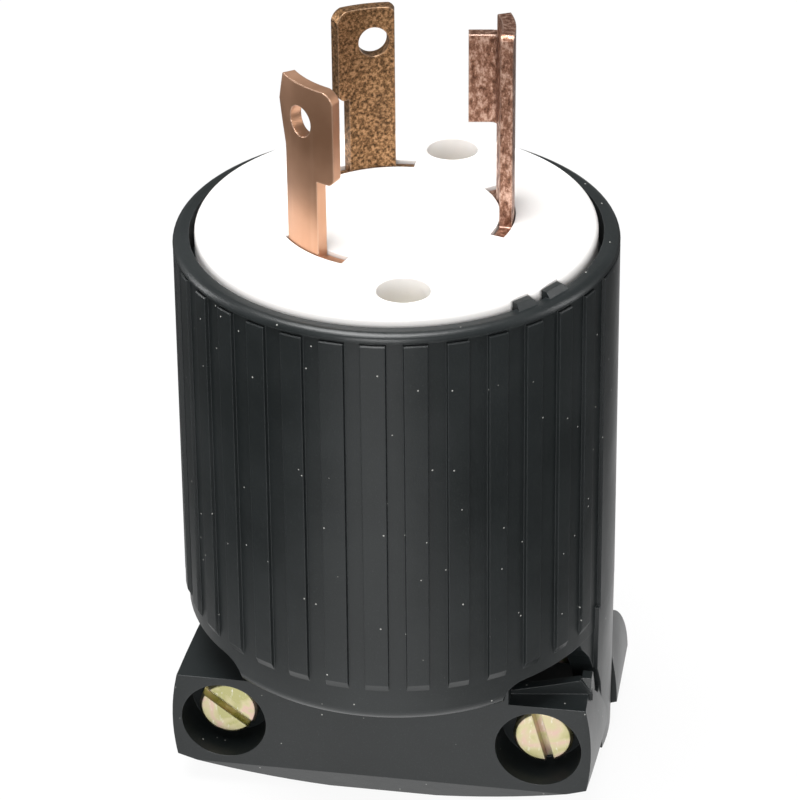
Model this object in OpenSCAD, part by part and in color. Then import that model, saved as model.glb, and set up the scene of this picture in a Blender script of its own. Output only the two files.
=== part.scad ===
// Turn-lock power plug, 30 A two-pole grounding pattern, for a flexible cord.
// Blades point up (+Z), the cord end stands on Z = 0, the clamp screws face -Y.

/* [Barrel] */
// Diameter of the rim and of the rib tops just below it
barrel_d = 57; // [56:0.5:60]
// Height of the lower edge of the barrel above the base
heel_z = 20.6; // [20:0.1:24]
// Height of the ribbed barrel, from its lower edge to the rim
barrel_h = 57; // [55:0.5:58]
// How much wider the barrel is in diameter at its lower end
barrel_flare = 0.8; // [0:0.1:1]
// Number of raised grip ribs
rib_count = 34; // [24:1:38]
// Height of a rib above the channels between the ribs
rib_h = 0.5; // [0.3:0.05:0.7]
// Width of a channel between two ribs, at the front and rear
channel_w = 2.15; // [1:0.05:2.4]
// How much wider the channels at the sides are, as a share
channel_spread = 0.5; // [0:0.05:0.6]
// How far the ribs start below the rim
rib_start = 1.5; // [1.4:0.1:3]
// How far the ribs end above the lower edge of the barrel
rib_stop = 5; // [4:0.1:7]
// Number of ribs that a smooth land takes up on each side
land_ribs = 3; // [1:2:5]
// Turn of the rib pattern about the axis
rib_turn = -91.6; // [-95:0.1:-87]
// Radius of the rounded outer edge of the rim
rim_round = 1.1; // [0.5:0.1:1.2]
// Radius of the rounded lower edge of the barrel
heel_round = 1.8; // [0.8:0.1:2.4]
// Wall of the barrel under the channels
barrel_wall = 3.2; // [2.6:0.1:3.4]

/* [Mouth] */
// Thickness of the rim, measured inwards from the rib tops
rim_w = 2.1; // [1.8:0.1:2.4]
// Depth of the ledge that carries the flange of the face
ledge_depth = 4.4; // [3.5:0.1:6]
// Directions of the two key teeth
key_angles = [-42.5, -31.25]; // [-90:0.05:90]
// Widths of the key teeth, as angles
key_w = [9, 10.9]; // [7:0.1:11]
// Widths of the flat tops of the key teeth, as angles
key_top = [5.1, 6.4]; // [3:0.1:7]
// How far a key tooth reaches in from the mouth
key_len = 0.8; // [0.75:0.05:1.5]
// Height of a key tooth above the rim
key_rise = 0.8; // [0.5:0.1:1.6]

/* [Face] */
// Height of the face above the rim
face_rise = 2; // [1:0.1:3]
// Gap between the flange of the face and the mouth
flange_gap = 0.7; // [0.3:0.1:1]
// Radius of the rounded edge of the face
face_round = 1.9; // [0.8:0.1:2.4]
// Depth of the insulating block under the rim
core_depth = 26; // [22:0.5:28]
// Gap between the insulating block and the barrel
core_gap = 0.4; // [0.2:0.1:0.8]
// Thickness of the plate that traps the blades from below
retainer_t = 4; // [3:0.5:5]
// Thickness of the face plate
face_t = 10.4; // [9:0.1:12]

/* [Blades] */
// Radius of the inner side of the blades
blade_r = 13.35; // [13:0.05:14]
// Thickness of a blade
blade_t = 1.65; // [1.5:0.05:2]
// Length of the line blades above the face
blade_len = 22.5; // [20:0.1:25]
// How much longer the ground blade is
ground_extra = 3.2; // [0:0.1:4]
// Directions of the stems: line, line, ground
blade_angles = [-132.45, 112.8, 11.2]; // [-180:0.05:180]
// Widths of the stems, as angles: line, line, ground
stem_w = [23.9, 26.2, 30.5]; // [20:0.1:34]
// Directions of the slots in the face: line, line, ground
slot_angles = [-127, 112, 11]; // [-180:0.5:180]
// Widths of the slots, as angles: line, line, ground
slot_w = [40, 45, 58]; // [36:0.5:60]
// Widths of the locking hooks of the line blades, as angles
hook_w = [9.9, 6.4]; // [5:0.1:11]
// Height of the underside of the hooks above the face
hook_h = 10.2; // [9:0.1:13]
// How far the leading edge of the first blade flares out above the hook, as an angle
flare_w = 8; // [0:0.5:10]
// Diameter of the hole near the tip of a line blade
tip_hole_d = 4; // [3:0.1:4.5]
// Distances of those holes from the tip
tip_hole_drop = [5, 4.7]; // [4:0.1:6]
// How far those holes stand off the middle of the stem, as angles
tip_hole_turn = [1.15, -1.5]; // [-3:0.05:3]
// How far the foot lies below the face
foot_drop = 0.5; // [0.2:0.1:1]
// Length of the tab that is bent inwards on the ground blade
tab_len = 4.45; // [3:0.05:5]
// Height of the underside of that tab above the face
tab_h = 10.5; // [9:0.1:13]

/* [Terminals] */
// Length of a terminal below the retainer plate
terminal_len = 13.5; // [13:0.5:15]
// Width of a terminal
terminal_w = 10; // [9:0.5:11]
// Diameter of a terminal screw
terminal_screw_d = 4; // [3:0.1:4.5]
// Thickness of a pressure plate
plate_t = 1.4; // [1:0.1:2]

/* [Assembly screws] */
// Sideways offset of the two assembly screws
assembly_x = 4.2; // [2:0.1:6]
// Distance of the assembly screws from the rim, front and rear
assembly_inset = 8.8; // [8.4:0.1:9.4]
// Diameter of the deep screw holes in the face
access_d = 6.7; // [6:0.1:7]
// Diameter of an assembly screw
assembly_d = 4; // [3:0.1:4]
// Depth of the screw seats under the face
assembly_seat = 8.4; // [7.5:0.1:9]

/* [Cord clamp] */
// Distance of the front and rear clamp faces from the middle
clamp_y = 17; // [16.5:0.1:18]
// Half width of the clamp block where its sides bulge most
block_half = 28.2; // [27.8:0.1:28.6]
// Half width of the jaw where its sides bulge most
jaw_half = 29.6; // [29:0.1:30]
// Height of the slot between the ears of the clamp block and the barrel's lower edge
ear_gap = 3.5; // [3:0.1:4]
// Height of the pocket over the ears, above the lower edge of the barrel
pocket_rise = 3.2; // [2.5:0.1:3.6]
// Half width of the neck between the pockets
neck_x = 17.2; // [17:0.1:18]
// Opening between the clamp block and the jaw
jaw_gap = 4.5; // [2:0.1:6]
// Rear side of the fixed half of the clamp
block_back = -1.5; // [-3:0.1:-1]
// Diameter of the cord opening
cord_d = 23; // [16:0.5:24]
// Sideways distance of the clamp screws from the middle
screw_x = 21.2; // [21:0.1:22]
// Distance of the clamp screws below the top of the ears
screw_drop = 6.8; // [6.6:0.1:7.2]
// How far the right clamp screw stands off the middle of its counterbore
screw_shift = 0.3; // [0:0.1:0.3]
// Diameter of the counterbores for the screw heads
bore_d = 11.5; // [10.5:0.1:11.8]
// Depth of the counterbores
bore_depth = 6.3; // [5.5:0.1:7]
// Diameter of a clamp screw
clamp_screw_d = 4.1; // [3.5:0.1:4.5]
// Clearance of a clamp screw in its holes
clamp_play = 1; // [0.5:0.1:1.2]
// Diameter of a clamp screw head
clamp_head_d = 8; // [7:0.1:8.4]
// Height of a clamp screw head
clamp_head_h = 3.4; // [2:0.1:4]
// Height of the ramp on the right ear at its high end
ramp_h = 2.1; // [1:0.1:2.6]
// Thickness of that ramp
ramp_t = 1.3; // [0.8:0.1:2]

/* [Hidden] */

$fn = 96;
eps = 0.01;
far = 100;

black = [0.11, 0.12, 0.12];
white = [0.92, 0.91, 0.89];
copper = [0.75, 0.5, 0.36];
brass = [0.78, 0.66, 0.38];
zinc = [0.86, 0.82, 0.66];
green = [0.12, 0.45, 0.25];

barrel_r = barrel_d / 2;
floor_r = barrel_r - rib_h;
cavity_r = floor_r - barrel_wall;
mouth_r = barrel_r - rim_w;
rim_h = heel_z + barrel_h;
pocket_z = heel_z + pocket_rise;
floor_z = pocket_z + 2.4;
ledge_z = rim_h - ledge_depth;
core_z = rim_h - core_depth;
retainer_z = core_z - retainer_t;
face_z = rim_h + face_rise;
tip_z = face_z + blade_len;
flange_r = mouth_r - flange_gap;
core_r = cavity_r - core_gap;
blade_out = blade_r + blade_t;
tail_r = blade_r - 0.5;
tail_out = tail_r + blade_t;
foot_z = face_z - foot_drop;
slot_gap = 0.15;
slot_play = 0.6;
foot_w = [for (w = slot_w) w / 2 - slot_play];
ground_tip_z = tip_z + ground_extra;
terminal_z = retainer_z - terminal_len;
terminal_screw_z = terminal_z + 5.5;
seat_z = face_z - assembly_seat;
plate_z = face_z - face_t;
assembly_y = barrel_r - assembly_inset;
ear_h = heel_z - ear_gap;
screw_h = ear_h - screw_drop;
clamp_xs = [-screw_x, screw_x + screw_shift];
crease_z = 3.4;
block_mid_h = 10.2;
block_side_r = 30;
block_taper = 2.3;
block_twist = 15;
jaw_mid_h = 4;
jaw_side_r = 40;
ramp_start = [16.7, -14.6];
ramp_turn = 8.7;
tongue_z = 2.6;
under_slope = 25;
tab_bend = 72;
tab_bend_r = 0.8;
under_r = 87;
under_sink = 0.3;
jaw_front = block_back + jaw_gap;
tongue_back = jaw_front - 0.5;
cord_y = (block_back + jaw_front) / 2;
insert_d = 6;
insert_h = 8;
post_r = 4.8;
retainer_angles = [175, -50];
retainer_r = 19;
retainer_screw_d = 2.8;
retainer_bite = 8;
screw_play = 0.4;
key_gap = 0.15;
nut_af = 8.7;
nut_h = 3.2;
nut_seat = 11.4;

// ---------------------------------------------------------------- helpers

// Sector of a ring between two angles and two heights
module arc_plate(r, t, a0, a1, z0, z1) {
    rotate([0, 0, a0])
        translate([0, 0, z0])
            rotate_extrude(angle = a1 - a0)
                translate([r, 0])
                    square([t, z1 - z0]);
}

// Drawing on the YZ plane of a direction, extruded outwards
module radial(angle, r0, r1) {
    rotate([0, 0, angle])
        translate([r0, 0, 0])
            rotate([90, 0, 90])
                linear_extrude(r1 - r0)
                    children();
}

// What a rounded corner at the origin takes away; sx and sy are the signs of its two sides.
// The arc meets both sides at a slight angle, so that it crosses them cleanly.
module corner_waste(r, sx, sy) {
    mirror([sx < 0 ? 1 : 0, 0])
        mirror([0, sy < 0 ? 1 : 0])
            difference() {
                translate([-r, -r])
                    square(2 * r);
                translate([-r, -r])
                    circle(r * 1.04, $fn = 48);
            }
}

// Slotted round head with its top at z = 0, standing on a shank
module slotted_screw(head_d, head_h, shank_d, shank_l, slot_w, slot_turn) {
    difference() {
        union() {
            translate([0, 0, -head_h])
                cylinder(h = head_h - 0.3, d = head_d);
            translate([0, 0, -0.3])
                cylinder(h = 0.3, d1 = head_d, d2 = head_d - 0.8);
            translate([0, 0, -head_h - shank_l])
                cylinder(h = shank_l + eps, d = shank_d);
        }
        rotate([0, 0, slot_turn])
            translate([-head_d, -slot_w / 2, -head_h * 0.45])
                cube([2 * head_d, slot_w, head_h]);
    }
}

// ---------------------------------------------------------------- housing

// Half section of the barrel at the level of the channels
module barrel_section() {
    foot_r = floor_r + barrel_flare / 2;
    polygon(concat(
        [[0, heel_z]],
        [for (a = [-90 : 10 : 0])
            [foot_r - heel_round + heel_round * cos(a),
             heel_z + heel_round + heel_round * sin(a)]],
        [[floor_r, rim_h - 1.3],
         [barrel_r - 0.3, rim_h - 1.3],
         [barrel_r - 0.3, rim_h - 1.0],
         [barrel_r, rim_h - 1.0 + 0.001]],
        [for (a = [10 : 10 : 90])
            [barrel_r - rim_round + rim_round * cos(a),
             rim_h - rim_round + rim_round * sin(a)]],
        [[0, rim_h]]
    ));
}

// Band between the channel floors and the rib tops, with sloped ends
module rib_section() {
    foot_r = barrel_r + barrel_flare / 2;
    z0 = heel_z + rib_stop;
    z1 = rim_h - rib_start;
    polygon([
        [floor_r - 1, z0 - 0.4], [foot_r - rib_h - 0.2, z0 - 0.4], [foot_r, z0 + 1.1],
        [barrel_r, z1 - 0.15], [barrel_r - 0.15, z1], [floor_r - 1, z1]
    ]);
}

// Ribs with drafted sides, all round the barrel
module ribs() {
    pitch = 360 / rib_count;
    intersection() {
        rotate_extrude(convexity = 4)
            rib_section();
        translate([0, 0, heel_z])
            linear_extrude(barrel_h) {
                for (side = [90, 270]) {
                    a0 = rib_turn + side - land_ribs * pitch / 2;
                    a1 = rib_turn + side + land_ribs * pitch / 2;
                    raised_plan(a0 + channel_half(a0), a1 - channel_half(a1));
                }
                for (i = [0 : rib_count - 1]) {
                    a0 = rib_turn + i * pitch;
                    a1 = a0 + pitch;
                    raised_plan(a0 + channel_half(a0), a1 - channel_half(a1));
                }
            }
    }
}

// Half the width of the channel that runs down the direction a, as an angle
function channel_half(a) = channel_w / barrel_r * 90 / PI * (1 + channel_spread * abs(cos(a)));

// Plan of a rib or a smooth land from a0 to a1, with drafted sides
module raised_plan(a0, a1) {
    r_in = floor_r - 0.6;
    r_out = barrel_r + 3;
    draft = 0.9;
    mid = (a0 + a1) / 2;
    polygon(concat(
        [for (a = [a0 - draft / 2, mid, a1 + draft / 2]) [r_in * cos(a), r_in * sin(a)]],
        [for (a = [a1 - draft, mid, a0 + draft]) [r_out * cos(a), r_out * sin(a)]]
    ));
}

// Front view of the clamp: ears at the sides, arched underside with a small flat
module clamp_outline(middle_h) {
    intersection() {
        union() {
            translate([-far / 2, 0])
                square([far, ear_h]);
            translate([-neck_x, 0])
                square([2 * neck_x, middle_h]);
        }
        translate([0, under_r - under_sink])
            circle(under_r, $fn = 360);
    }
}

// What lies outside bulged sides of radius r, widest at the height mid; taper and twist
// turn the sides towards the back
module clamp_side_waste(half_w, mid, r, taper, twist) {
    for (side = [0, 1])
        mirror([side, 0, 0])
            translate([half_w - r, -clamp_y, mid])
                rotate([-twist, 0, -taper])
                    rotate([90, 0, 0])
                        translate([0, 0, -far / 2])
                            linear_extrude(far)
                                difference() {
                                    translate([0.6 * r, -far / 2])
                                        square(far);
                                    circle(r);
                                }
}

// Chamfer under the front face of the clamp
module under_chamfer() {
    translate([-far / 2, -clamp_y, crease_z])
        rotate([under_slope, 0, 0])
            translate([0, -20, -20])
                cube([far, 20, 20]);
}

// Bevel along the lower corners of the block
module lower_corner_waste() {
    for (side = [0, 1])
        mirror([side, 0, 0])
            translate([block_half - 1.5, -far / 2, crease_z - 0.4])
                rotate([0, -45, 0])
                    translate([0, 0, -4])
                        cube([4, far, 4]);
}

// Pocket that frees an ear from the barrel, open to the outside
module ear_pocket() {
    r = 2.6;
    difference() {
        translate([neck_x, ear_h])
            square([30, pocket_z - ear_h]);
        translate([neck_x, pocket_z])
            difference() {
                translate([-1, -r])
                    square(r + 1);
                translate([r, -r])
                    circle(r, $fn = 48);
            }
    }
}

// Thin ramp that stands on the right ear, higher towards the side
module ear_ramp() {
    run = block_half - 0.4 - ramp_start[0];
    translate([ramp_start[0], ramp_start[1] + ramp_t, ear_h])
        rotate([0, 0, ramp_turn])
            rotate([90, 0, 0])
                linear_extrude(ramp_t)
                    polygon([
                        [-1, -1], [-1, 0.4], [run - 1.6, ramp_h],
                        [run, 0], [run, -1]
                    ]);
}

// Fixed front half of the clamp, one piece with the barrel
module clamp_block() {
    difference() {
        translate([0, block_back, 0])
            rotate([90, 0, 0])
                linear_extrude(clamp_y + block_back)
                    clamp_outline(heel_z + eps);
        under_chamfer();
        clamp_side_waste(block_half, block_mid_h, block_side_r, block_taper, block_twist);
        lower_corner_waste();
    }
}

// Piece of the barrel wall with the outer radius r, cut to an outline seen from the right
module wall_piece(r, outline) {
    intersection() {
        translate([0, 0, tongue_z])
            difference() {
                cylinder(h = heel_z + 8, r = r);
                translate([0, 0, -1])
                    cylinder(h = heel_z + 10, r = cavity_r + 0.6);
            }
        translate([20, 0, 0])
            rotate([90, 0, 90])
                linear_extrude(12)
                    polygon(outline);
    }
}

// Tongue of the barrel wall that covers the right end of the clamp: the smooth land runs
// down it, and a web beside the land tapers away
module side_tongue() {
    land_y = -7.6;
    wall_piece(barrel_r + barrel_flare / 2 - 0.02, [
        [-4.8, tongue_z], [tongue_back, tongue_z], [tongue_back, heel_z + 6.6],
        [land_y, heel_z + 6.6], [land_y, 17.6], [-6.3, 14.7], [-5.2, 9]
    ]);
    wall_piece(floor_r + barrel_flare / 2 - 0.1, [
        [-5, 9], [0, 9], [0, pocket_z + 1], [-12, pocket_z + 1],
        [-10.9, pocket_z - 1.2], [-8.9, 20.2], [-7.9, 18.3], [-6.3, 14.7]
    ]);
}

// Hollow behind the ramp, deeper than the ear is high
module ramp_hollow() {
    translate([neck_x, 0, 0])
        rotate([90, 0, 90])
            linear_extrude(15)
                polygon([
                    [-11.2, pocket_z - 1], [-11.2, ear_h], [-7.6, 13.7],
                    [block_back + 1, 13.7], [block_back + 1, pocket_z - 1]
                ]);
}

// Cheek that closes the hollow at the side, sloping from the ramp down to the tongue
module ramp_cheek() {
    translate([block_half - 1.9, 0, 0])
        rotate([90, 0, 90])
            linear_extrude(1.3)
                polygon([
                    [-13, 12], [-13, ear_h], [-12.3, ear_h + ramp_h - 0.1],
                    [-10.8, ear_h + ramp_h + 0.1], [-6.6, 12.8], [-6.6, 12]
                ]);
}

module housing() {
    color(black)
    difference() {
        union() {
            difference() {
                union() {
                    rotate_extrude()
                        barrel_section();
                    ribs();
                }
                for (side = [0, 1])
                    mirror([side, 0, 0])
                        translate([0, far / 2, 0])
                            rotate([90, 0, 0])
                                linear_extrude(far)
                                    ear_pocket();
            }
            difference() {
                clamp_block();
                ramp_hollow();
            }
            side_tongue();
            ear_ramp();
            ramp_cheek();
        }
        // mouth, ledge and cavity
        translate([0, 0, ledge_z])
            cylinder(h = far, r = mouth_r);
        translate([0, 0, floor_z])
            cylinder(h = far, r = cavity_r);
        // cord passage
        translate([0, cord_y, -1])
            cylinder(h = floor_z + 2, d = cord_d);
        // clamp screws
        for (x = [-screw_x, screw_x])
            translate([x, 0, screw_h])
                rotate([90, 0, 0]) {
                    translate([0, 0, -far / 2])
                        cylinder(h = far, d = clamp_screw_d + clamp_play, $fn = 48);
                    translate([0, 0, clamp_y - bore_depth])
                        cylinder(h = bore_depth + 1, d = bore_d);
                }
    }
    color(black)
        key_teeth();
    color(black)
        screw_posts();
}

// Side view of key tooth i and of its notch: flat top, then a slope down to the rim
module key_outline(i, gap) {
    half = key_w[i] * mouth_r * PI / 360 + gap;
    crest = half - (key_w[i] - key_top[i]) * mouth_r * PI / 180;
    polygon([
        [-half, ledge_z - 0.5 - gap], [-half, face_z + 1], [crest, face_z + 1],
        [crest, rim_h + key_rise], [half, rim_h - 1.1], [half, ledge_z - 0.5 - gap]
    ]);
}

// Teeth on the mouth that index the face, with a bevel on their outer side
module key_teeth() {
    for (i = [0, 1])
        difference() {
            intersection() {
                radial(key_angles[i], mouth_r - key_len, mouth_r + 2)
                    key_outline(i, 0);
                cylinder(h = rim_h + key_rise, r = mouth_r + 0.7);
            }
            rotate([0, 0, key_angles[i]])
                translate([mouth_r, 0, rim_h + key_rise])
                    rotate([0, 53, 0])
                        translate([0, -5, 0])
                            cube([4, 10, 4]);
        }
}

// Posts that take the threaded inserts
module screw_posts() {
    for (y = [-assembly_y, assembly_y])
        difference() {
            intersection() {
                translate([assembly_x, y, floor_z - 1])
                    cylinder(h = retainer_z - floor_z + 1, r = post_r);
                cylinder(h = far, r = cavity_r + 1);
            }
            translate([assembly_x, y, retainer_z - insert_h])
                cylinder(h = insert_h + 1, d = insert_d);
            translate([assembly_x, y, retainer_z - insert_h - 3])
                cylinder(h = 4, d = assembly_d + screw_play);
        }
}

// ---------------------------------------------------------------- insulators

module blade_slots(z0, z1) {
    for (i = [0 : 2]) {
        a = slot_angles[i];
        arc_plate(blade_r - slot_gap, blade_t + 2 * slot_gap,
            a - slot_w[i] / 2, a + slot_w[i] / 2, z0, z1);
    }
}

// White face: a rounded flange on the ledge of the housing, and a spigot below it
module face_plate() {
    color(white)
    difference() {
        union() {
            translate([0, 0, ledge_z])
                rotate_extrude()
                    polygon(concat(
                        [[0, 0], [flange_r, 0]],
                        [for (a = [0 : 10 : 90])
                            [flange_r - face_round + face_round * cos(a),
                             face_z - ledge_z - face_round + face_round * sin(a)]],
                        [[0, face_z - ledge_z]]
                    ));
            translate([0, 0, plate_z])
                cylinder(h = ledge_z - plate_z + eps, r = core_r);
        }
        blade_slots(plate_z - 1, face_z + 1);
        for (y = [-assembly_y, assembly_y])
            translate([assembly_x, y, 0]) {
                translate([0, 0, seat_z])
                    cylinder(h = far, d = access_d);
                translate([0, 0, face_z - 0.35])
                    cylinder(h = 0.36, d1 = access_d, d2 = access_d + 0.7);
                translate([0, 0, plate_z - 1])
                    cylinder(h = seat_z - plate_z + 2, d = assembly_d + screw_play);
            }
        for (i = [0, 1])
            radial(key_angles[i], mouth_r - key_len - key_gap, far / 2)
                key_outline(i, key_gap);
    }
}

// Block that carries the blades under the face
module blade_carrier() {
    color(white)
    difference() {
        translate([0, 0, core_z])
            cylinder(h = plate_z - core_z, r = core_r);
        blade_slots(core_z - 1, plate_z + 1);
        for (y = [-assembly_y, assembly_y])
            translate([assembly_x, y, core_z - 1])
                cylinder(h = plate_z - core_z + 2, d = assembly_d + screw_play);
        for (a = retainer_angles)
            rotate([0, 0, a])
                translate([retainer_r, 0, core_z - 1])
                    cylinder(h = retainer_bite + 1, d = retainer_screw_d, $fn = 32);
    }
}

module terminal_retainer() {
    color(black)
    difference() {
        translate([0, 0, retainer_z])
            cylinder(h = retainer_t, r = core_r);
        for (a = slot_angles)
            rotate([0, 0, a])
                translate([tail_r - slot_gap, -terminal_w / 2 - slot_gap, retainer_z - 1])
                    cube([blade_t + 2 * slot_gap, terminal_w + 2 * slot_gap, retainer_t + 2]);
        for (y = [-assembly_y, assembly_y])
            translate([assembly_x, y, retainer_z - 1])
                cylinder(h = retainer_t + 2, d = assembly_d + screw_play);
        for (a = retainer_angles)
            rotate([0, 0, a])
                translate([retainer_r, 0, retainer_z - 1])
                    cylinder(h = retainer_t + 2, d = retainer_screw_d + 0.3, $fn = 32);
    }
}

// ---------------------------------------------------------------- blades

// Cuts the blank of a blade away between two angles and two heights
module trim(a0, a1, z0, z1) {
    arc_plate(blade_r - 1, blade_t + 2, a0, a1, z0, z1);
}

// Blank of a blade: foot in the slot, stem, and hook side up to the angle hook_to. The leading
// side may flare out by the angle flare.
module blade_blank(i, hook_to, top, flare) {
    low = blade_angles[i] - stem_w[i] / 2;
    high = blade_angles[i] + stem_w[i] / 2;
    foot_low = slot_angles[i] - foot_w[i];
    foot_high = slot_angles[i] + foot_w[i];
    start = min(foot_low, low - flare) - 3;
    difference() {
        arc_plate(blade_r, blade_t, start, foot_high + 3, core_z, top);
        trim(start - 2, foot_low, core_z - 1, foot_z + 0.4);
        trim(start - 2, low, foot_z, foot_z + hook_h);
        trim(start - 2, low - flare, foot_z + hook_h - 1, top + 1);
        trim(foot_high, foot_high + 5, core_z - 1, face_z);
        trim(high, foot_high + 5, foot_z, face_z + hook_h);
        trim(hook_to, foot_high + 5, face_z + 1, top + 1);
        if (flare > 0)
            flare_waste(low, flare, top);
    }
}

// What is cut from beside the flared side: it leans out above the hook, then back to the tip
module flare_waste(low, flare, top) {
    out = blade_r * flare * PI / 180;
    radial(low, blade_r - 1, blade_out + 1)
        polygon([
            [-0.02, face_z], [-0.02, top - 9.4], [-out, top - 3.9], [-0.3 * out, top - 0.2],
            [-0.3 * out + 0.4, top + 1], [-4 * out, top + 1], [-4 * out, face_z]
        ]);
}

// Flat terminal below the foot, set back so that it crosses the curved foot
module terminal_plate(i) {
    rotate([0, 0, slot_angles[i]])
        difference() {
            translate([tail_r, -terminal_w / 2, terminal_z])
                cube([blade_t, terminal_w, core_z - terminal_z + 4]);
            translate([0, 0, terminal_screw_z])
                radial(0, tail_r - 1, tail_r + blade_t + 1)
                    circle(d = terminal_screw_d, $fn = 48);
        }
}

module line_blade(i) {
    high = blade_angles[i] + stem_w[i] / 2;
    low = blade_angles[i] - stem_w[i] / 2;
    flare = i == 0 ? flare_w : 0;
    difference() {
        blade_blank(i, high + hook_w[i], tip_z, flare);
        translate([0, 0, tip_z - tip_hole_drop[i]])
            radial(blade_angles[i] + tip_hole_turn[i], blade_r - 1, blade_out + 1)
                circle(d = tip_hole_d, $fn = 48);
        if (flare == 0)
            radial(low, blade_r - 1, blade_out + 1)
                translate([0, tip_z])
                    corner_waste(1.1, -1, 1);
        radial(high + hook_w[i], blade_r - 1, blade_out + 1)
            translate([0, tip_z])
                corner_waste(1.9, 1, 1);
        radial(high + hook_w[i], blade_r - 1, blade_out + 1)
            translate([0, face_z + hook_h])
                corner_waste(1, 1, -1);
    }
    terminal_plate(i);
}

module line_blade_x() {
    color(copper)
        line_blade(0);
}

module line_blade_y() {
    color(copper)
        line_blade(1);
}

// Plan of the inward tab, drawn from the inner edge of the stem's end face
module ground_tab_plan() {
    r_out = tab_bend_r + blade_t;
    c = [cos(tab_bend), sin(tab_bend)];
    run = [-c[1], c[0]] * (tab_len - blade_t);
    polygon(concat(
        [[0.3, -0.8], [blade_t - 0.3, -0.8]],
        [for (a = [8 : 8 : tab_bend]) [r_out * cos(a) - tab_bend_r, r_out * sin(a)]],
        [[r_out * c[0] - tab_bend_r, r_out * c[1]] + run,
         [tab_bend_r * c[0] - tab_bend_r, tab_bend_r * c[1]] + run],
        [for (a = [tab_bend : -16 : 8]) [tab_bend_r * cos(a) - tab_bend_r, tab_bend_r * sin(a)]]
    ));
}

module ground_blade() {
    low = blade_angles[2] - stem_w[2] / 2;
    high = blade_angles[2] + stem_w[2] / 2;
    color(copper) {
        difference() {
            blade_blank(2, high, ground_tip_z, 0);
            radial(low, blade_r - 1, blade_out + 1)
                translate([0, ground_tip_z])
                    corner_waste(0.9, -1, 1);
            radial(high, blade_r - 1, blade_out + 1)
                translate([0, ground_tip_z])
                    corner_waste(0.5, 1, 1);
        }
        terminal_plate(2);
        rotate([0, 0, high])
            translate([blade_r, 0, face_z + tab_h])
                linear_extrude(blade_len - tab_h)
                    ground_tab_plan();
    }
}

// ---------------------------------------------------------------- terminals

module pressure_plate(a) {
    half = 4.3;
    color(brass)
    difference() {
        rotate([0, 0, a])
            translate([tail_out, -half, terminal_screw_z - half])
                cube([plate_t, 2 * half, 2 * half]);
        translate([0, 0, terminal_screw_z])
            radial(a, tail_out - 1, tail_out + plate_t + 1)
                circle(d = terminal_screw_d + 0.3, $fn = 48);
    }
}

module pressure_plate_x() {
    pressure_plate(slot_angles[0]);
}

module pressure_plate_y() {
    pressure_plate(slot_angles[1]);
}

module pressure_plate_ground() {
    pressure_plate(slot_angles[2]);
}

module terminal_screw(a) {
    head_h = 2.2;
    rotate([0, 0, a])
        translate([tail_out + plate_t + head_h, 0, terminal_screw_z])
            rotate([0, 90, 0])
                slotted_screw(7, head_h, terminal_screw_d, blade_t + plate_t + 2, 1.1, 20);
}

module terminal_screw_x() {
    color(brass)
        terminal_screw(slot_angles[0]);
}

module terminal_screw_y() {
    color(brass)
        terminal_screw(slot_angles[1]);
}

module terminal_screw_ground() {
    color(green)
        terminal_screw(slot_angles[2]);
}

// ---------------------------------------------------------------- fasteners

module assembly_screw(y) {
    head_h = 2.4;
    color(zinc)
        translate([assembly_x, y, seat_z + head_h])
            slotted_screw(access_d - 0.5, head_h, assembly_d,
                seat_z - retainer_z + insert_h - 1, 1, 35);
}

module assembly_screw_front() {
    assembly_screw(-assembly_y);
}

module assembly_screw_rear() {
    assembly_screw(assembly_y);
}

module assembly_insert(y) {
    color(brass)
        translate([assembly_x, y, retainer_z - insert_h])
            difference() {
                cylinder(h = insert_h, d = insert_d);
                translate([0, 0, -1])
                    cylinder(h = insert_h + 2, d = assembly_d);
            }
}

module assembly_insert_front() {
    assembly_insert(-assembly_y);
}

module assembly_insert_rear() {
    assembly_insert(assembly_y);
}

module retainer_screw(a) {
    color(zinc)
        rotate([0, 0, a])
            translate([retainer_r, 0, retainer_z - 1.8])
                rotate([180, 0, 0])
                    slotted_screw(5, 1.8, retainer_screw_d, retainer_t + retainer_bite - 1, 0.8, 60);
}

module retainer_screw_left() {
    retainer_screw(retainer_angles[0]);
}

module retainer_screw_right() {
    retainer_screw(retainer_angles[1]);
}

// ---------------------------------------------------------------- cord clamp

// Side view of the loose jaw: flat towards the block, rounded over at the back
module jaw_profile() {
    r = clamp_y - jaw_front;
    intersection() {
        translate([jaw_front, ear_h - r])
            circle(r);
        translate([jaw_front, 0])
            square([r, ear_h]);
    }
    translate([jaw_front, 0])
        square([r, ear_h - r + eps]);
}

module clamp_jaw() {
    color(black)
    difference() {
        intersection() {
            translate([-far / 2, 0, 0])
                rotate([90, 0, 90])
                    linear_extrude(far)
                        jaw_profile();
            translate([0, clamp_y, 0])
                rotate([90, 0, 0])
                    linear_extrude(clamp_y - jaw_front)
                        clamp_outline(ear_h);
        }
        mirror([0, 1, 0])
            under_chamfer();
        clamp_side_waste(jaw_half, jaw_mid_h, jaw_side_r, 0, 0);
        translate([0, cord_y, -1])
            cylinder(h = far, d = cord_d);
        for (x = clamp_xs)
            translate([x, 0, screw_h])
                rotate([-90, 0, 0]) {
                    cylinder(h = far, d = clamp_screw_d + clamp_play, $fn = 48);
                    translate([0, 0, nut_seat])
                        rotate([0, 0, 30])
                            cylinder(h = far, d = (nut_af + 0.3) / cos(30), $fn = 6);
                }
    }
}

module clamp_screw(x, turn) {
    color(zinc)
        translate([x, -clamp_y + bore_depth - clamp_head_h, screw_h])
            rotate([90, 0, 0])
                slotted_screw(clamp_head_d, clamp_head_h, clamp_screw_d,
                    clamp_y - bore_depth + nut_seat + nut_h - 0.5, 1.2, turn);
}

module clamp_screw_left() {
    clamp_screw(clamp_xs[0], -38);
}

module clamp_screw_right() {
    clamp_screw(clamp_xs[1], -75);
}

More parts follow.
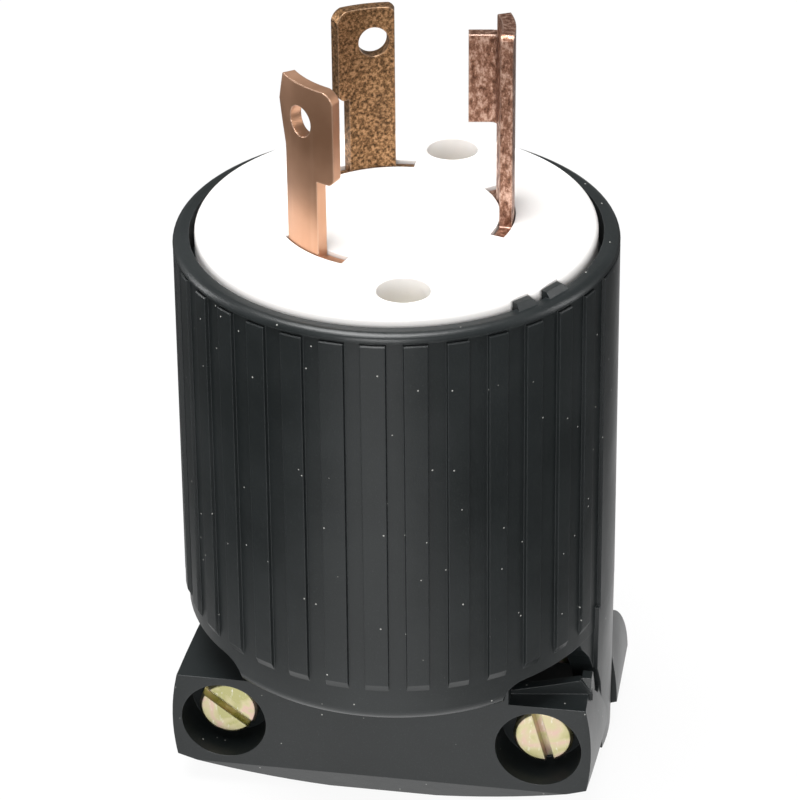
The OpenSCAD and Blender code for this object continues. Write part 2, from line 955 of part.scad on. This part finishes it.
module clamp_nut(x) {
    color(zinc)
        translate([x, nut_seat, screw_h])
            rotate([-90, 0, 0])
                difference() {
                    rotate([0, 0, 30])
                        cylinder(h = nut_h, d = nut_af / cos(30), $fn = 6);
                    translate([0, 0, -1])
                        cylinder(h = nut_h + 2, d = clamp_screw_d, $fn = 48);
                }
}

module clamp_nut_left() {
    clamp_nut(clamp_xs[0]);
}

module clamp_nut_right() {
    clamp_nut(clamp_xs[1]);
}

housing();
face_plate();
blade_carrier();
terminal_retainer();
line_blade_x();
line_blade_y();
ground_blade();
pressure_plate_x();
pressure_plate_y();
pressure_plate_ground();
terminal_screw_x();
terminal_screw_y();
terminal_screw_ground();
assembly_screw_front();
assembly_screw_rear();
assembly_insert_front();
assembly_insert_rear();
retainer_screw_left();
retainer_screw_right();
clamp_jaw();
clamp_screw_left();
clamp_screw_right();
clamp_nut_left();
clamp_nut_right();
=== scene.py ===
"""A turn-lock power plug on a pale floor: camera, lamps, floor, and a procedural finish for every piece."""
import math

import bpy
import numpy as np
from mathutils import Matrix, Vector

bpy.context.scene.view_settings.view_transform = "Standard"
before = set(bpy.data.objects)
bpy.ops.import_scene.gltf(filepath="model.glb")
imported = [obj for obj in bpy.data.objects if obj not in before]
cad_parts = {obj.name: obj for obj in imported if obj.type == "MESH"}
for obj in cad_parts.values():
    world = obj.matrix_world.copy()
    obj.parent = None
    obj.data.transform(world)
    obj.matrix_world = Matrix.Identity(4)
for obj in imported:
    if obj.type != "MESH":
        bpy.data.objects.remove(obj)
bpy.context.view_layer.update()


# ---------------------------------------------------------------- camera

VIEW_TURN, VIEW_RISE, VIEW_ROLL = 9.78, 30.33, -0.57  # degrees round from the front, up, and rolled
VIEW_DISTANCE = 0.44024
VIEW_TARGET = (0.000114, 0.0, 0.0521)
SENSOR_WIDTH = 36.0
FOCAL_LENGTH, FRAME_WIDTH = 3360.4, 798.0  # both in the same unit, only their ratio counts
CLIP_NEAR, CLIP_FAR = 0.01, 20.0


def aim_camera():
    """Camera at the set distance from its target, on the set angles."""
    p, t, r = (math.radians(v) for v in (VIEW_TURN, VIEW_RISE, VIEW_ROLL))
    out = Vector((math.sin(p) * math.cos(t), -math.cos(p) * math.cos(t), math.sin(t)))
    right = (-out).cross(Vector((0, 0, 1))).normalized()
    up = right.cross(-out)
    right_r = right * math.cos(r) + up * math.sin(r)
    up_r = -right * math.sin(r) + up * math.cos(r)
    data = bpy.data.cameras.new("camera")
    data.sensor_fit = "HORIZONTAL"
    data.sensor_width = SENSOR_WIDTH
    data.lens = SENSOR_WIDTH * FOCAL_LENGTH / FRAME_WIDTH
    data.clip_start, data.clip_end = CLIP_NEAR, CLIP_FAR
    cam = bpy.data.objects.new("camera", data)
    bpy.context.scene.collection.objects.link(cam)
    place = Vector(VIEW_TARGET) + out * VIEW_DISTANCE
    turn = Matrix((right_r, up_r, out)).transposed()
    cam.matrix_world = Matrix.Translation(place) @ turn.to_4x4()
    bpy.context.scene.camera = cam


aim_camera()


# ---------------------------------------------------------------- light and floor

LAMP_TARGET = (0, 0, 0.06)
# name: place, width and height, watts
LAMPS = {
    "top_lamp": ((-0.10, -0.12, 0.80), (0.55, 0.45), 11.0),
    "front_lamp": ((0.02, -0.90, 0.30), (0.35, 0.30), 4.0),
    "right_strip": ((0.75, 0.12, 0.22), (0.10, 0.60), 2.2),
    "left_strip": ((-0.75, 0.12, 0.22), (0.10, 0.60), 2.2),
}


def soft_lamp(name, place, size, watts):
    """White rectangular area lamp that looks at the target."""
    data = bpy.data.lights.new(name, "AREA")
    data.shape = "RECTANGLE"
    data.size, data.size_y = size
    data.energy = watts
    lamp = bpy.data.objects.new(name, data)
    bpy.context.scene.collection.objects.link(lamp)
    lamp.location = place
    lamp.rotation_mode = "QUATERNION"
    lamp.rotation_quaternion = (Vector(LAMP_TARGET) - Vector(place)).to_track_quat("-Z", "Y")


for lamp_name, (lamp_place, lamp_size, lamp_watts) in LAMPS.items():
    soft_lamp(lamp_name, lamp_place, lamp_size, lamp_watts)


WHITE = (1, 1, 1, 1)
WORLD_LIGHT = 0.40
WORLD_MIRRORED = 0.22


def mixed(nt, amount, first, second):
    """Output of a shader that is first where amount is 0 and second where it is 1."""
    mix = nt.nodes.new("ShaderNodeMixShader")
    nt.links.new(amount, mix.inputs["Fac"])
    nt.links.new(first, mix.inputs[1])
    nt.links.new(second, mix.inputs[2])
    return mix.outputs[0]


def pale_world():
    """White to the camera, a dimmer white in mirrors, and dimmer again as a light."""
    world = bpy.data.worlds.new("studio")
    bpy.context.scene.world = world
    world.use_nodes = True
    nt = world.node_tree
    nt.nodes.clear()
    out = nt.nodes.new("ShaderNodeOutputWorld")
    path = nt.nodes.new("ShaderNodeLightPath")
    last = None
    for amount, ray in ((WORLD_LIGHT, None), (WORLD_MIRRORED, "Is Glossy Ray"), (1.0, "Is Camera Ray")):
        sky = nt.nodes.new("ShaderNodeBackground")
        sky.inputs["Color"].default_value = WHITE
        sky.inputs["Strength"].default_value = amount
        last = mixed(nt, path.outputs[ray], last, sky.outputs[0]) if last else sky.outputs[0]
    nt.links.new(last, out.inputs["Surface"])


pale_world()


FLOOR_SIDES = 64
FLOOR_RADIUS = 1.6
FLOOR_SINK = 0.0002
FLOOR_GREY = 0.7
FLOOR_WHITE = 0.93  # share of plain white that the camera sees; the rest keeps the shadow
STRIP_INNER, STRIP_OUTER = 0.008, 0.085  # from the middle to where the mirrored strip has faded
STRIP_BRIGHT, STRIP_DARK = 1.35, 0.10


def glow(nt, strength=1.0):
    """White emission node."""
    node = nt.nodes.new("ShaderNodeEmission")
    node.inputs["Color"].default_value = WHITE
    node.inputs["Strength"].default_value = strength
    return node


def pale_floor():
    """Disc under the object. It is white to the camera, keeps a trace of the shadow, and
    mirrors show it as a pale strip that runs from front to rear between darker sides."""
    turn = np.arange(FLOOR_SIDES) * 2 * np.pi / FLOOR_SIDES
    level = np.full(FLOOR_SIDES, -FLOOR_SINK)
    ring = np.stack([FLOOR_RADIUS * np.cos(turn), FLOOR_RADIUS * np.sin(turn), level], axis=1)
    mesh = bpy.data.meshes.new("floor")
    mesh.from_pydata(ring.tolist(), [], [list(range(FLOOR_SIDES))])
    floor = bpy.data.objects.new("floor", mesh)
    bpy.context.scene.collection.objects.link(floor)
    mat = bpy.data.materials.new("pale_floor")
    mat.use_nodes = True
    nt = mat.node_tree
    nt.nodes.clear()
    out = nt.nodes.new("ShaderNodeOutputMaterial")
    path = nt.nodes.new("ShaderNodeLightPath")
    paint = nt.nodes.new("ShaderNodeBsdfDiffuse")
    paint.inputs["Color"].default_value = (FLOOR_GREY, FLOOR_GREY, FLOOR_GREY, 1)
    # strip seen in mirrors
    coord = nt.nodes.new("ShaderNodeTexCoord")
    split = nt.nodes.new("ShaderNodeSeparateXYZ")
    nt.links.new(coord.outputs["Object"], split.inputs[0])
    side = nt.nodes.new("ShaderNodeMath")
    side.operation = "ABSOLUTE"
    nt.links.new(split.outputs["X"], side.inputs[0])
    fall = nt.nodes.new("ShaderNodeMapRange")
    fall.interpolation_type = "SMOOTHSTEP"
    for key, v in (("From Min", STRIP_INNER), ("From Max", STRIP_OUTER),
                   ("To Min", STRIP_BRIGHT), ("To Max", STRIP_DARK)):
        fall.inputs[key].default_value = v
    nt.links.new(side.outputs[0], fall.inputs["Value"])
    strip = glow(nt)
    nt.links.new(fall.outputs["Result"], strip.inputs["Strength"])
    lit = mixed(nt, path.outputs["Is Glossy Ray"], paint.outputs[0], strip.outputs[0])
    # white to the camera
    most = nt.nodes.new("ShaderNodeMath")
    most.operation = "MULTIPLY"
    most.inputs[1].default_value = FLOOR_WHITE
    nt.links.new(path.outputs["Is Camera Ray"], most.inputs[0])
    seen = mixed(nt, most.outputs[0], lit, glow(nt).outputs[0])
    nt.links.new(seen, out.inputs["Surface"])
    mesh.materials.append(mat)


pale_floor()


# ---------------------------------------------------------------- materials

EDGE_SAMPLES = 4
EDGE_FLAT, EDGE_SHARP = 1.0, 0.75  # rounded against true normal: the same on flats, apart on edges


class Finish:
    """One procedural finish on a Principled shader, built step by step on Object coordinates."""

    def __init__(self, name, metal=0.0, level=0.5):
        self.mat = bpy.data.materials.new(name)
        self.mat.use_nodes = True
        self.nt = self.mat.node_tree
        self.b = self.nt.nodes["Principled BSDF"]
        self.b.inputs["Metallic"].default_value = metal
        self.b.inputs["Specular IOR Level"].default_value = level
        self.coord = self.nt.nodes.new("ShaderNodeTexCoord")
        self.normal = None

    def link(self, a, b):
        self.nt.links.new(a, b)

    def place(self, stretch=(1, 1, 1), turn=(0, 0, 0)):
        """Object coordinates, turned and stretched."""
        mapping = self.nt.nodes.new("ShaderNodeMapping")
        mapping.inputs["Scale"].default_value = stretch
        mapping.inputs["Rotation"].default_value = turn
        self.link(self.coord.outputs["Object"], mapping.inputs["Vector"])
        return mapping.outputs["Vector"]

    def noise(self, scale, detail=2.0, rough=0.5, vector=None, warp=0.0):
        """Noise value; scale counts cells per metre."""
        tex = self.nt.nodes.new("ShaderNodeTexNoise")
        tex.inputs["Scale"].default_value = scale
        tex.inputs["Detail"].default_value = detail
        tex.inputs["Roughness"].default_value = rough
        tex.inputs["Distortion"].default_value = warp
        self.link(vector or self.coord.outputs["Object"], tex.inputs["Vector"])
        return tex.outputs["Fac"]

    def cells(self, scale):
        """Distance to the nearest of scattered points; scale counts cells per metre."""
        tex = self.nt.nodes.new("ShaderNodeTexVoronoi")
        tex.inputs["Scale"].default_value = scale
        self.link(self.coord.outputs["Object"], tex.inputs["Vector"])
        return tex.outputs["Distance"]

    def ramp(self, value, stops):
        """Colours along a value: stops are (place, colour)."""
        node = self.nt.nodes.new("ShaderNodeValToRGB")
        e = node.color_ramp.elements
        while len(e) < len(stops):
            e.new(0.5)
        for i, (at, colour) in enumerate(stops):
            e[i].position = at
            e[i].color = (*colour, 1)
        self.link(value, node.inputs["Fac"])
        return node.outputs["Color"]

    def span(self, value, low, high, to_low=0.0, to_high=1.0):
        """Straight run from low..high to to_low..to_high, held at both ends."""
        node = self.nt.nodes.new("ShaderNodeMapRange")
        for key, v in (("From Min", low), ("From Max", high), ("To Min", to_low), ("To Max", to_high)):
            node.inputs[key].default_value = v
        self.link(value, node.inputs["Value"])
        return node.outputs["Result"]

    def blend(self, amount, a, b):
        """Colour a where amount is 0 and b where it is 1."""
        node = self.nt.nodes.new("ShaderNodeMix")
        node.data_type = "RGBA"
        self.link(amount, node.inputs["Factor"])
        for socket, v in ((node.inputs[6], a), (node.inputs[7], b)):
            if isinstance(v, tuple):
                socket.default_value = (*v, 1)
            else:
                self.link(v, socket)
        return node.outputs[2]

    def edges(self, radius):
        """Rounds the shading of sharp edges by a radius in metres, and returns 0 on flats to 1 on edges."""
        bevel = self.nt.nodes.new("ShaderNodeBevel")
        bevel.samples = EDGE_SAMPLES
        bevel.inputs["Radius"].default_value = radius
        self.normal = bevel.outputs["Normal"]
        shape = self.nt.nodes.new("ShaderNodeNewGeometry")
        dot = self.nt.nodes.new("ShaderNodeVectorMath")
        dot.operation = "DOT_PRODUCT"
        self.link(bevel.outputs["Normal"], dot.inputs[0])
        self.link(shape.outputs["Normal"], dot.inputs[1])
        return self.span(dot.outputs["Value"], EDGE_FLAT, EDGE_SHARP)

    def bump(self, height, strength, distance):
        """Adds relief over what is there already; distance in metres."""
        node = self.nt.nodes.new("ShaderNodeBump")
        node.inputs["Strength"].default_value = strength
        node.inputs["Distance"].default_value = distance
        self.link(height, node.inputs["Height"])
        if self.normal is not None:
            self.link(self.normal, node.inputs["Normal"])
        self.normal = node.outputs["Normal"]

    def done(self, colour, rough):
        """Joins colour, roughness and normal to the shader, and returns the material."""
        self.link(colour, self.b.inputs["Base Color"])
        if isinstance(rough, (int, float)):
            self.b.inputs["Roughness"].default_value = rough
        else:
            self.link(rough, self.b.inputs["Roughness"])
        if self.normal is not None:
            self.link(self.normal, self.b.inputs["Normal"])
        return self.mat


def moulded_black(name, rough, level):
    """Black nylon from a fine-blasted mould: cloudy tone, fine grain, a painted highlight that lightens the
    edges, dust specks.
    """
    f = Finish(name, level=level)
    edge = f.edges(0.00016)
    cloud = f.noise(70, 3)
    colour = f.ramp(cloud, [(0.35, (0.0065, 0.0085, 0.0088)), (0.65, (0.010, 0.0125, 0.013))])
    grain = f.noise(5200, 2, 0.6)
    colour = f.blend(f.span(grain, 0.58, 0.75, 0.0, 0.35), colour, (0.035, 0.04, 0.041))
    # painted highlight: the edge mask lightens the colour along every edge
    colour = f.blend(f.span(edge, 0.15, 0.9, 0.0, 0.5), colour, (0.055, 0.062, 0.064))
    speck = f.span(f.cells(420), 0.055, 0.035)
    colour = f.blend(speck, colour, (0.32, 0.32, 0.30))
    f.bump(grain, 0.22, 0.00006)
    f.bump(f.noise(330, 2), 0.10, 0.0004)
    return f.done(colour, f.span(cloud, 0.3, 0.7, rough - 0.04, rough + 0.05))


def moulded_white():
    """White nylon, smooth and faintly cloudy, with soft edges."""
    f = Finish("white_moulded_nylon", level=0.45)
    f.edges(0.00025)
    cloud = f.noise(45, 3)
    colour = f.ramp(cloud, [(0.3, (0.735, 0.715, 0.70)), (0.7, (0.785, 0.77, 0.755))])
    fine = f.noise(2600, 2)
    colour = f.blend(f.span(fine, 0.62, 0.8, 0.0, 0.2), colour, (0.62, 0.60, 0.585))
    f.bump(f.noise(160, 2), 0.06, 0.0005)
    f.b.inputs["Subsurface Weight"].default_value = 0.12
    f.b.inputs["Subsurface Radius"].default_value = (0.0016, 0.0014, 0.0012)
    return f.done(colour, 0.24)


def clean_copper():
    """Light drawn copper alloy: smooth, faint upright draw lines, pale worn edges, few scratches."""
    f = Finish("clean_blade_copper", metal=0.9)
    edge = f.edges(0.00028)
    cloud = f.noise(130, 4)
    colour = f.ramp(cloud, [(0.3, (0.47, 0.25, 0.145)), (0.7, (0.60, 0.345, 0.22))])
    draw = f.noise(900, 3, vector=f.place((1, 1, 0.06)))
    colour = f.blend(f.span(draw, 0.55, 0.8, 0.0, 0.3), colour, (0.70, 0.46, 0.33))
    colour = f.blend(f.span(edge, 0.1, 0.8, 0.0, 0.6), colour, (0.80, 0.60, 0.47))
    f.bump(draw, 0.10, 0.00008)
    return f.done(colour, f.span(cloud, 0.3, 0.7, 0.34, 0.44))


def speckled_copper():
    """Dark tarnished blade: close brown and gold speckle, stained patches, bright edges."""
    f = Finish("speckled_blade_copper", metal=0.85)
    edge = f.edges(0.00028)
    speck = f.noise(2300, 3, 0.7)
    stain = f.noise(210, 3)
    colour = f.ramp(speck, [(0.36, (0.055, 0.030, 0.014)), (0.5, (0.20, 0.105, 0.045)),
                            (0.62, (0.42, 0.24, 0.12))])
    colour = f.blend(f.span(stain, 0.55, 0.75, 0.0, 0.35), colour, (0.07, 0.04, 0.022))
    colour = f.blend(f.span(edge, 0.1, 0.8, 0.0, 0.6), colour, (0.62, 0.42, 0.28))
    f.bump(speck, 0.35, 0.00008)
    return f.done(colour, f.span(speck, 0.3, 0.7, 0.52, 0.36))


def mottled_copper():
    """Rosy brown blade with a rolled, pitted skin, and a painted highlight that brightens the edges."""
    f = Finish("mottled_blade_copper", metal=0.9)
    edge = f.edges(0.0003)
    pits = f.noise(1500, 4, 0.75, vector=f.place((1, 1, 0.6)))
    colour = f.ramp(pits, [(0.36, (0.10, 0.045, 0.028)), (0.5, (0.27, 0.135, 0.088)),
                           (0.64, (0.60, 0.40, 0.31))])
    # painted highlight: the edge mask lightens the colour towards pale pink along the edges
    colour = f.blend(f.span(edge, 0.1, 0.8, 0.0, 0.65), colour, (0.74, 0.55, 0.46))
    f.bump(pits, 0.45, 0.0001)
    return f.done(colour, f.span(pits, 0.3, 0.7, 0.5, 0.34))


def yellow_zinc():
    """Yellow passivated zinc: olive gold that turns rosy in patches, with scuffed bright marks."""
    f = Finish("yellow_zinc_plating", metal=1.0)
    edge = f.edges(0.0002)
    hue = f.noise(260, 2, warp=0.6)
    colour = f.ramp(hue, [(0.36, (0.46, 0.44, 0.21)), (0.48, (0.62, 0.56, 0.34)),
                          (0.58, (0.70, 0.50, 0.42)), (0.68, (0.58, 0.55, 0.32))])
    scuff = f.noise(1700, 3, 0.7, vector=f.place((1, 1, 0.35), turn=(0, 0.7, 0)))
    colour = f.blend(f.span(scuff, 0.58, 0.72, 0.0, 0.7), colour, (0.86, 0.84, 0.76))
    colour = f.blend(f.span(edge, 0.2, 0.9, 0.0, 0.5), colour, (0.88, 0.82, 0.62))
    f.bump(scuff, 0.25, 0.00006)
    return f.done(colour, f.span(hue, 0.3, 0.7, 0.26, 0.36))


def plain_metal(name, low, high, metal, rough):
    """Turned metal of the hidden fasteners and plates, faintly mottled."""
    f = Finish(name, metal=metal)
    f.edges(0.0002)
    cloud = f.noise(420, 3)
    f.bump(f.noise(2400, 2), 0.15, 0.00005)
    colour = f.ramp(cloud, [(0.3, low), (0.7, high)])
    return f.done(colour, f.span(cloud, 0.3, 0.7, rough - 0.05, rough + 0.05))


FINISHES = {
    "black_nylon": moulded_black("black_moulded_nylon", 0.34, 0.42),
    "retainer_black": moulded_black("black_retainer", 0.5, 0.4),
    "white_nylon": moulded_white(),
    "blade_copper_clean": clean_copper(),
    "blade_copper_dark": speckled_copper(),
    "blade_copper_mottled": mottled_copper(),
    "brass": plain_metal("plain_brass", (0.60, 0.43, 0.17), (0.72, 0.53, 0.24), 1.0, 0.32),
    "green_screw": plain_metal("green_screw_coat", (0.03, 0.20, 0.07), (0.05, 0.27, 0.10), 0.4, 0.35),
    "zinc_steel": yellow_zinc(),
}

for name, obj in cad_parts.items():
    for slot in obj.material_slots:
        wanted = slot.material.name.split(".")[0]
        slot.material = FINISHES[wanted]
